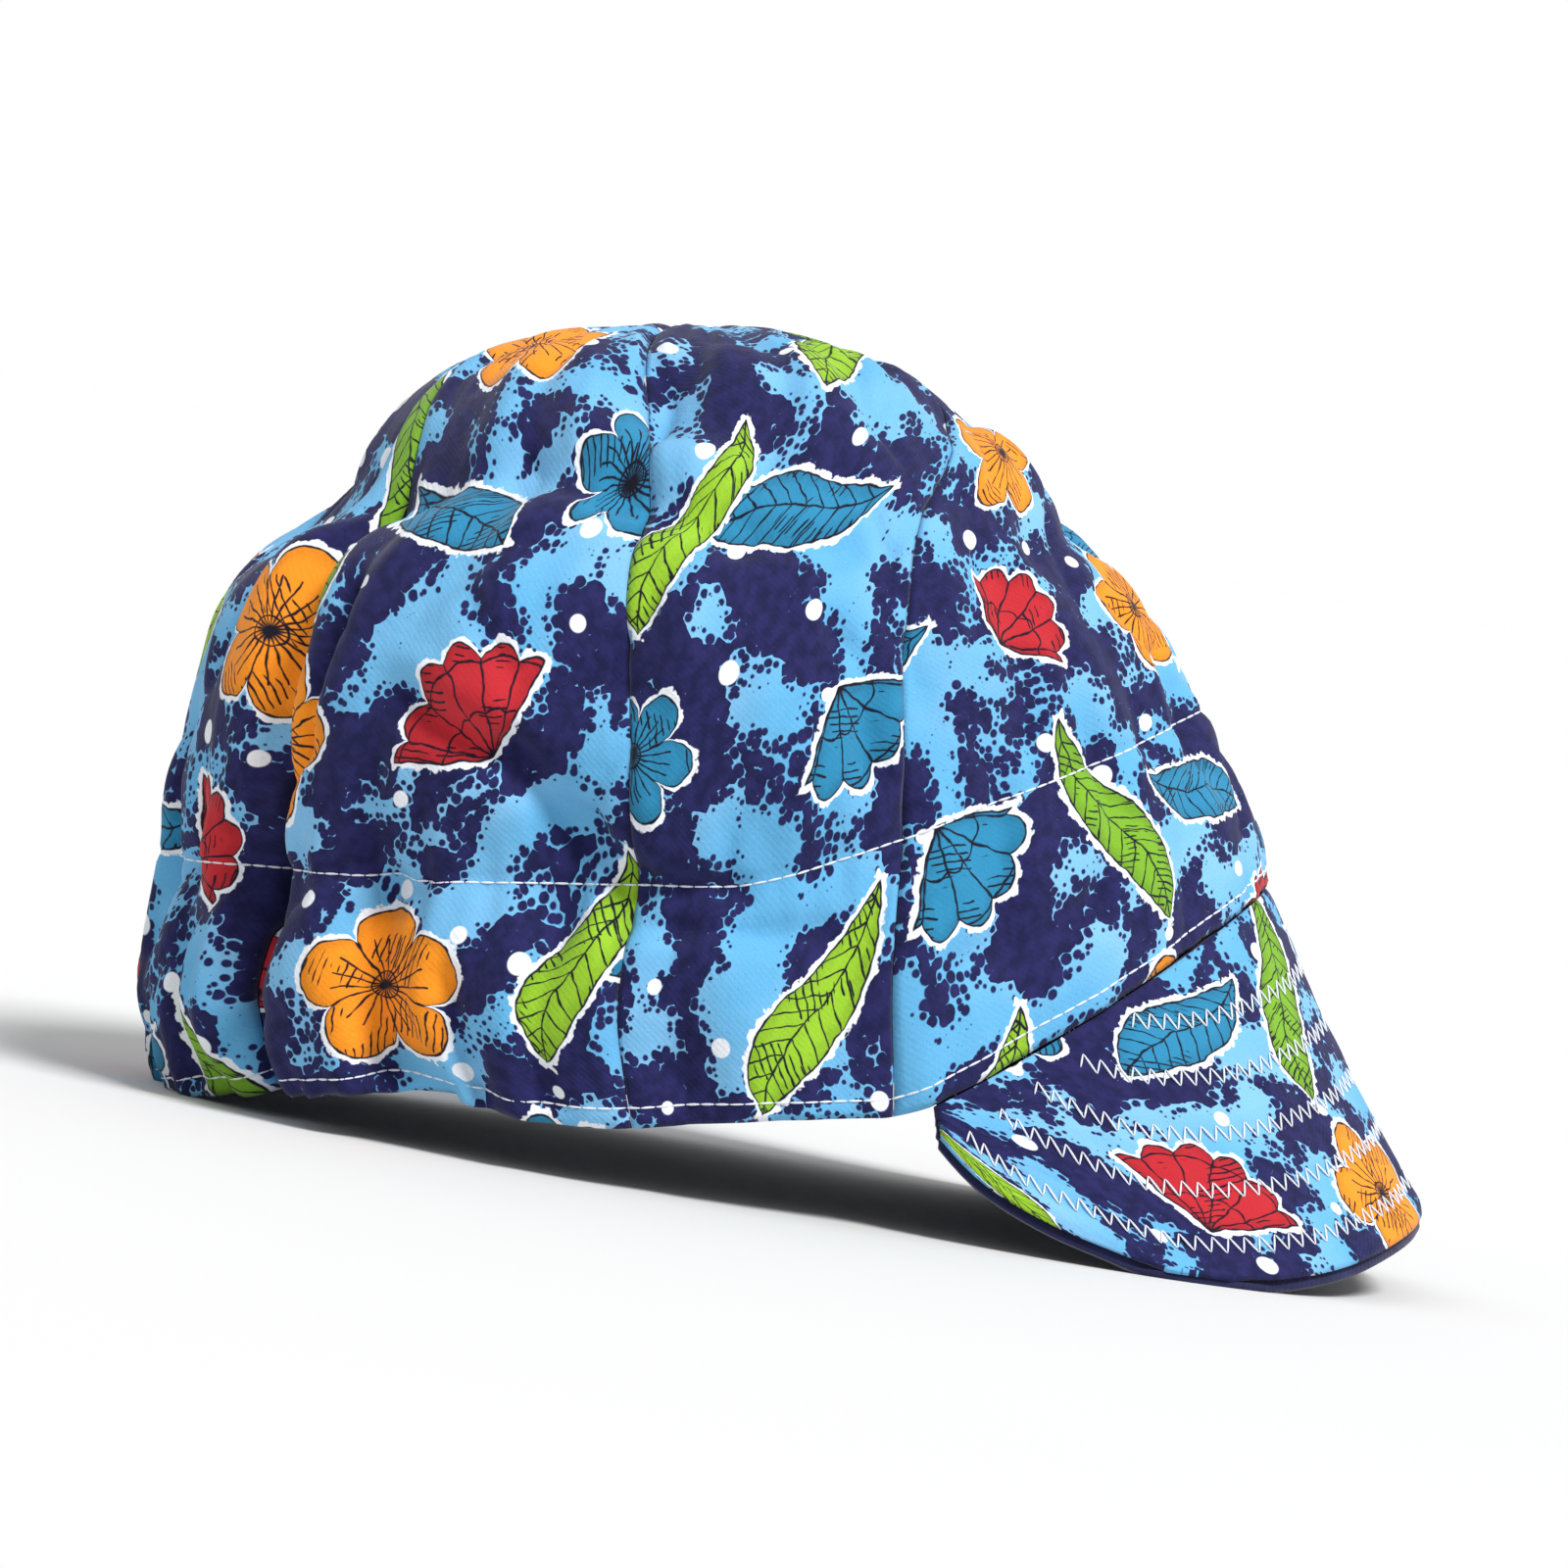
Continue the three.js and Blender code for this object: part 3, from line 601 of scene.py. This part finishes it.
# The weave: fine slanting twill ridges, uneven yarn, and small soft creases.
weave_group, inputs, outputs = new_group("twill weave", {"Place": VECTOR}, {"Height": NUMBER, "Yarn": NUMBER})
tree = weave_group
ridges = node(tree, "ShaderNodeTexWave", inputs["Place"], 52.0, 0.6, 2.0, bands_direction="DIAGONAL")
yarn = soft_noise(tree, inputs["Place"], 260.0, 3.0)
height = maths(tree, "MULTIPLY", soft_noise(tree, inputs["Place"], 14.0, 4.0, 0.6), 0.9)
height = maths(tree, "MULTIPLY_ADD", yarn, 0.08, height)
height = maths(tree, "MULTIPLY_ADD", ridges, 0.05, height)
tree.links.new(height, outputs["Height"])
tree.links.new(yarn, outputs["Yarn"])


def cotton(name, colour_of, roughness, sheen):
    """A cotton finish. Colour_of gives the socket of its colour, from the material's tree and a place."""
    material = bpy.data.materials.new(name)
    material.use_nodes = True
    tree = material.node_tree
    shader = tree.nodes["Principled BSDF"]
    uv = tree.nodes.new("ShaderNodeUVMap")
    uv.uv_map = "print"
    weave = place_group(tree, weave_group, Place=uv.outputs[0])
    colour = colour_of(tree, uv.outputs[0])
    shade = span(tree, weave["Yarn"], 0.3, 0.7, 0.9, 1.0)
    colour = node(tree, "ShaderNodeVectorMath", colour, shade, operation="SCALE")
    tree.links.new(colour, shader.inputs["Base Color"])
    rough = span(tree, weave["Yarn"], 0.3, 0.7, roughness - 0.04, roughness + 0.05)
    tree.links.new(rough, shader.inputs["Roughness"])
    shader.inputs["Sheen Weight"].default_value = sheen
    shader.inputs["Sheen Roughness"].default_value = 0.5
    shader.inputs["Specular IOR Level"].default_value = 0.16
    bump = tree.nodes.new("ShaderNodeBump")
    bump.inputs["Strength"].default_value = 0.5
    bump.inputs["Distance"].default_value = 0.0009
    tree.links.new(weave["Height"], bump.inputs["Height"])
    tree.links.new(bump.outputs[0], shader.inputs["Normal"])
    return material


def printed(tree, place):
    return place_group(tree, print_group, Place=place)["Color"]


def wrong_side(tree, place):
    return over(tree, 0.55, printed(tree, place), linear(206, 214, 226))


# Plain dark navy: the inner band's own colour. On the peak's lower ply the same dark navy is painted shade,
# standing for the shadow under the upper ply's edge.
def plain_navy_and_painted_shade(tree, place):
    mottle = span(tree, soft_noise(tree, place, 9.0, 3.0), 0.3, 0.7)
    return over(tree, mottle, linear(26, 28, 66), linear(36, 38, 80))


printed_cotton = cotton("printed_cotton", printed, 0.84, 0.1)
printed_reverse = cotton("printed_cotton_wrong_side", wrong_side, 0.88, 0.15)
# Navy cotton for the inner band, and as painted shade for the peak's lower ply.
navy_cotton_and_painted_shade = cotton("navy_cotton_and_painted_shade", plain_navy_and_painted_shade, 0.86, 0.25)

# Each panel as it is cut: its width in millimetres and its area in square millimetres, and how far across and
# up it lies on the bolt of printed cotton.
PANELS = {
    "right_front": (114, 11500, 64, 31),
    "right_temple": (70, 11000, 9, 4),
    "right_ear": (81, 14100, 96, 76),
    "right_nape": (64, 10000, 40, 58),
    "left_nape": (68, 10300, 77, 12),
    "left_ear": (73, 8900, 21, 88),
    "left_temple": (60, 7500, 104, 40),
    "left_front": (110, 11000, 50, 97),
}
panel_columns, panel_rows = 60, 136
panel_wall = cloth_thickness - 0.2
seam_gap = 0.04
print_fullness = 1.05
for index, (side, (cut_width, cut_area, *bolt)) in enumerate(PANELS.items()):

    def panel_angle(fraction, up):
        start, end = seam_angle(index, up), seam_angle(index + 1, up)
        arc = np.linalg.norm(smooth_crown(start, up) - smooth_crown(end, up), axis=-1)
        hold = np.minimum(seam_gap / arc, 0.3)
        return start + (end - start) * (hold + fraction * (1 - 2 * hold))

    def panel_place(fraction, height):
        up = height * tip_up
        at = panel_angle(fraction, up)
        return crown_wall(at, up, cloth_detail(at, up, fraction))

    def panel_print(fraction, height):
        up = height * tip_up
        start, end = smooth_crown(seam_angle(index, up), up), smooth_crown(seam_angle(index + 1, up), up)
        spread = (0.5 - fraction) * np.linalg.norm(start - end, axis=-1) * print_fullness
        return np.stack([spread + bolt[0], up * gore_height + bolt[1]], -1)

    panel = cut_cloth(f"panel_{side}", panel_columns, panel_rows, panel_place, panel_print)
    thicken(panel, panel_wall, printed_cotton, printed_reverse)
    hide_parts(f"gore_{side}")
    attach(panel, "root")

# The inner band: a ring of plain cotton sewn inside the rim, from the hem to the row of stitches round the
# head. It takes the wear of the forehead, and an elastic at the nape would run inside it.
band_from, band_to = 0.03, band_up
band_girth = 580
band_inset = 1.45
band_thickness = 0.8


def band_depth(at, up):
    outer = cloth_detail(at, up, across_panel(at, up))
    return band_inset + np.maximum(outer, -0.6) + 0.15 * ripple(at / 3, up * 12, 5.0)


def band_place(fraction, height):
    at, up = fraction * 360, band_from + height * (band_to - band_from)
    return crown_wall(at, up, band_depth(at, up))


def band_print(fraction, height):
    return np.stack([fraction * band_girth, height * band_width], -1)


band = cut_cloth("sweatband", 420, 26, band_place, band_print)
bm = bmesh.new()
bm.from_mesh(band.data)
bmesh.ops.remove_doubles(bm, verts=bm.verts, dist=0.00002)
bm.to_mesh(band.data)
bm.free()
thicken(band, band_thickness, navy_cotton_and_painted_shade)
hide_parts("inner_band")
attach(band, "root")

# The peak: a printed ply over a lower ply, quilted together and sewn to the front of the rim. It is short and
# soft and hangs steeply, and the lower ply shows as a thin dark lip under the edge of the upper one. That
# lip's darkness is painted shade: the lower ply is given plain dark navy for the shadow under the upper ply.
peak_length = 66
peak_droop = 64
peak_span = 67
peak_sag = 1.2
peak_lip = 1.6
ply_thickness = 1.4
ply_wall = ply_thickness - 0.2
# A ply as it is cut: how much its rows bend, and where it lies on the bolt.
crescent = 0.0028
ply_bolt = (32, 78)
PEAK_COLUMNS = ("along", "length", "steeper", "outward")
PEAK = {
    "middle": (0, 1.0, 0, 0),
    "front": (0.25, 1.01, 0, 12),
    "quarter": (0.5, 0.95, 0, 24),
    "side": (0.7, 0.78, 1, 33),
    "low side": (0.85, 0.51, 3, 42),
    "heel": (0.95, 0.26, 8, 52),
    "end": (1, 0.09, 14, 62),
}
# Rows of quilting, by their distance from the peak's edge.
QUILT_ROWS = (7, 18, 29, 40, 51)


def peak_value(column, across):
    rows = np.array(list(PEAK.values()))
    return smooth_curve(rows[:, 0], rows[:, PEAK_COLUMNS.index(column)], np.abs(across))


def row_length(across):
    """How far the peak hangs from the rim to its edge, in millimetres."""
    return peak_length * peak_value("length", across)


def peak_surface(across, down):
    """The upper face of the peak, across from -1 to 1 and down from 0 at the seam to 1 at the edge."""
    droop = np.radians(peak_droop + peak_value("steeper", across))
    outward = np.radians(peak_value("outward", across)) * np.sign(across)
    length = peak_value("length", across)
    ahead, aside = np.cos(outward), -np.sin(outward)
    hang = np.stack([np.cos(droop) * ahead, np.cos(droop) * aside, -np.sin(droop)], -1)
    lifted = np.stack([np.sin(droop) * ahead, np.sin(droop) * aside, np.cos(droop)], -1)
    start = crown_wall(across * peak_span, 0 * across, 0 * across)
    reach = (sewn_gap + peak_length * length * down)[:, None]
    return start + hang * reach - lifted * (peak_sag * length * np.sin(math.pi * down))[:, None]


def peak_wall(across, down, depth):
    along_across = peak_surface(across + 0.01, down) - peak_surface(across - 0.01, down)
    along_down = peak_surface(across, down + 0.02) - peak_surface(across, down - 0.02)
    normal = np.cross(along_across, along_down)
    normal /= np.linalg.norm(normal, axis=-1, keepdims=True)
    return peak_surface(across, down) - normal * np.asarray(depth)[..., None]


def quilting(across, down):
    """How far the quilting pulls the ply down, with small puffs between the rows and a pinched seam."""
    length = row_length(across)
    from_edge = (1 - down) * length
    depth = 0.35 * ripple(across * 20, down * 7, 2.2) + 0.5 * ripple(across * 7, down * 2.5, 8.4)
    for row in QUILT_ROWS:
        pull = 0.7 + 0.9 * ripple(across * 26, down * 9, row)
        depth += 0.4 * near(from_edge - row, 2.4) * pull
    edge = np.minimum(from_edge, down * length)
    return depth * ease(0, 3, edge) + 0.5 * near(edge, 1.0)


def peak_print(fraction, height):
    """The pattern follows the cloth as cut flat: a crescent whose rows keep their real length."""
    across, down = 2 * fraction - 1, 1 - height
    over_row = np.linspace(-1, 1, 161)
    u = 0 * across
    for level in np.unique(down):
        path = peak_surface(over_row, level + 0 * over_row)
        arc = np.concatenate([[0], np.cumsum(np.linalg.norm(np.diff(path, axis=0), axis=1))])
        here = down == level
        u[here] = np.interp(across[here], over_row, arc - arc[len(arc) // 2])
    v = -crescent * u**2 - down * row_length(across)
    return np.stack([u + ply_bolt[0], v + ply_bolt[1]], -1)


def upper_place(fraction, height):
    across, down = 2 * fraction - 1, 1 - height
    return peak_wall(across, down, quilting(across, down))


def lower_ply(across, down, under=0):
    """The upper face of the lower ply, or a place under it."""
    reach = 1 + peak_lip * down / row_length(across)
    depth = ply_thickness + sewn_gap + 0.15 + 0.2 * ripple(across * 18, down * 6, 4.4)
    return peak_wall(across, down * reach, depth + under)


def lower_place(fraction, height):
    return lower_ply(2 * fraction - 1, 1 - height)


for name, place, finish, lowest in (
    ("peak_upper", upper_place, printed_cotton, 2 * ply_wall),
    # The lower ply's plain navy is painted shade, for the shadow under the upper ply's edge.
    ("peak_lower", lower_place, navy_cotton_and_painted_shade, ply_wall),
):
    ply = cut_cloth(name, 150, 60, place, peak_print, lowest)
    thicken(ply, ply_wall, finish)
    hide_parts(f"{name}_ply")
    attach(ply, "root")

# The stitching: white cotton thread, in rows of small raised stitches. One row holds the inner band, one the
# hem and the peak's seam, and zigzag rows quilt the peak.
row_thread, zigzag_thread = 0.46, 0.42
row_pitch, zigzag_pitch = 2.7, 1.65
zigzag_width = 3.4
# How far the middle of a thread stands over the cloth.
row_rise, zigzag_rise, inner_rise = 0.14, 0.12, 0.1
thread = bpy.data.materials.new("white_thread")
thread.use_nodes = True
tree = thread.node_tree
object_place = node(tree, "ShaderNodeTexCoord", out=3)
twist = node(tree, "ShaderNodeTexWave", object_place, 1400.0, 1.0, 1.0, bands_direction="DIAGONAL")
tint = over(tree, twist, linear(206, 214, 226), linear(238, 240, 246))
tree.links.new(tint, tree.nodes["Principled BSDF"].inputs["Base Color"])
tree.nodes["Principled BSDF"].inputs["Roughness"].default_value = 0.6
tree.nodes["Principled BSDF"].inputs["Sheen Weight"].default_value = 0.3


def sew(name, lines, width):
    """Stitches along lines of points, each a thin bead from one point to the next. A few are made at a time,
    because a large mesh takes each new bead slowly."""
    few_stitches = 24
    bm = bmesh.new()
    for points in lines:
        for first in range(0, len(points) - 1, few_stitches):
            last = first + few_stitches
            few = bmesh.new()
            for start, end in zip(points[first:last], points[first + 1 : last + 1]):
                along = Vector(end) - Vector(start)
                shape = Matrix.Diagonal((width / 2000, width / 2000, along.length * 0.5, 1))
                turn = along.to_track_quat("Z", "Y").to_matrix().to_4x4()
                place = Matrix.Translation((Vector(start) + Vector(end)) / 2) @ turn @ shape
                bmesh.ops.create_uvsphere(few, u_segments=6, v_segments=5, radius=1, matrix=place)
            run = bpy.data.meshes.new(name)
            few.to_mesh(run)
            few.free()
            bm.from_mesh(run)
            bpy.data.meshes.remove(run)
    for face in bm.faces:
        face.smooth = True
    mesh = bpy.data.meshes.new(name)
    bm.to_mesh(mesh)
    bm.free()
    piece = bpy.data.objects.new(name, mesh)
    bpy.context.collection.objects.link(piece)
    piece.data.materials.append(thread)
    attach(piece, "root")


def even_steps(line, pitch):
    """Values from 0 to 1 along a line at which its points lie a pitch apart, in millimetres."""
    t = np.linspace(0, 1, 1600)
    path = np.concatenate([[0], np.cumsum(np.linalg.norm(np.diff(line(t), axis=0), axis=1))])
    return np.interp(np.linspace(0, path[-1], max(int(path[-1] / pitch), 2)), path, t)


def crown_row(up, depth_of):
    def line(t):
        at = t * 360
        height = up + 0.0012 * np.sin(at / 7)
        return crown_wall(at, height, depth_of(at, height))

    return stand_on_table(line(even_steps(line, row_pitch)))


def on_crown(at, up):
    return cloth_detail(at, up, across_panel(at, up)) - row_rise


def inside_band(at, up):
    return band_depth(at, up) + band_thickness + inner_rise


sew("band_stitches", [crown_row(band_up, on_crown)], row_thread)
sew("hem_stitches", [crown_row(hem_row / gore_height, on_crown)], row_thread)
sew("band_stitches_inside", [crown_row(band_up - 0.012, inside_band)], row_thread)

over_peak, under_peak = [], []
for row in QUILT_ROWS:
    half = np.linspace(0, 1, 201)
    end = half[row_length(half) > row + 3][-1] * 0.985

    def quilt_down(across):
        return 1 - row / row_length(across)

    def quilt_line(t):
        across = end * (2 * t - 1)
        return peak_wall(across, quilt_down(across), 0 * t)

    t = even_steps(quilt_line, zigzag_pitch)
    across = end * (2 * t - 1)
    swing = zigzag_width / 2 * np.where(np.arange(len(t)) % 2, 1, -1)
    down = np.clip(quilt_down(across) + swing / row_length(across), 0.01, 0.985)
    over_peak.append(stand_on_table(peak_wall(across, down, quilting(across, down) - zigzag_rise)))
    under_peak.append(stand_on_table(lower_ply(across, down, ply_wall + inner_rise), 0.2))
sew("quilting_stitches", over_peak, zigzag_thread)
sew("quilting_stitches_under", under_peak, zigzag_thread)

# The table top: a plain pale surface, wide enough to fill the picture. The studio is white behind the cap and
# dimmer all round it, so that the folds keep their shade.
bm = bmesh.new()
bmesh.ops.create_grid(bm, x_segments=1, y_segments=1, size=15)
mesh = bpy.data.meshes.new("table_top")
bm.to_mesh(mesh)
bm.free()
table_top = bpy.data.objects.new("table_top", mesh)
bpy.context.collection.objects.link(table_top)
pale = bpy.data.materials.new("pale_table")
pale.use_nodes = True
tree = pale.node_tree
mottle = node(tree, "ShaderNodeTexNoise", node(tree, "ShaderNodeTexCoord", out=3), 3.0, 2.0)
tint = over(tree, mottle, linear(218, 218, 218), linear(221, 221, 221))
tree.links.new(tint, tree.nodes["Principled BSDF"].inputs["Base Color"])
tree.nodes["Principled BSDF"].inputs["Roughness"].default_value = 0.9
mesh.materials.append(pale)

world = bpy.data.worlds.new("studio")
bpy.context.scene.world = world
world.use_nodes = True
tree = world.node_tree
background = tree.nodes["Background"]
background.inputs["Color"].default_value = (1, 1, 1, 1)
behind = node(tree, "ShaderNodeSeparateXYZ", node(tree, "ShaderNodeTexCoord"), out=1)
tree.links.new(node(tree, "ShaderNodeMapRange", behind, 0.3, 0.9, 0.5, 1.0), background.inputs["Strength"])

# A broad lamp high over the cap's right front, like a large softbox.
key_lamp = bpy.data.lights.new("key", "SUN")
key_lamp.energy = 3.3
key_lamp.angle = math.radians(20)
key = bpy.data.objects.new("key", key_lamp)
key.rotation_euler = Vector((-0.7, 0.8, -1.42)).to_track_quat("-Z", "Y").to_euler()
bpy.context.collection.objects.link(key)

# The camera looks at the cap's right side through a long lens, turned to show the rim level. How wide it sees
# comes from the photograph's scale.
photo_pixels = 1600
pixels_per_millimetre = 5.5
view_centre = Vector((-0.0085, 0, 0.0735))
view_distance = 1.9
view_rise = math.radians(2.0)
view_roll = math.radians(9.63)
picture_width = photo_pixels / pixels_per_millimetre / 1000
camera_data = bpy.data.cameras.new("camera")
camera_data.sensor_width = 36
camera_data.lens = 36 * view_distance / picture_width
camera = bpy.data.objects.new("camera", camera_data)
bpy.context.collection.objects.link(camera)
ahead = Vector((0, math.cos(view_rise), -math.sin(view_rise)))
level_up = Vector((0, math.sin(view_rise), math.cos(view_rise)))
right = math.cos(view_roll) * Vector((1, 0, 0)) + math.sin(view_roll) * level_up
up_way = right.cross(ahead)
turn = Matrix((right, up_way, -ahead)).transposed().to_4x4()
camera.matrix_world = Matrix.Translation(view_centre - ahead * view_distance) @ turn
bpy.context.scene.camera = camera
bpy.context.scene.view_settings.view_transform = "Standard"
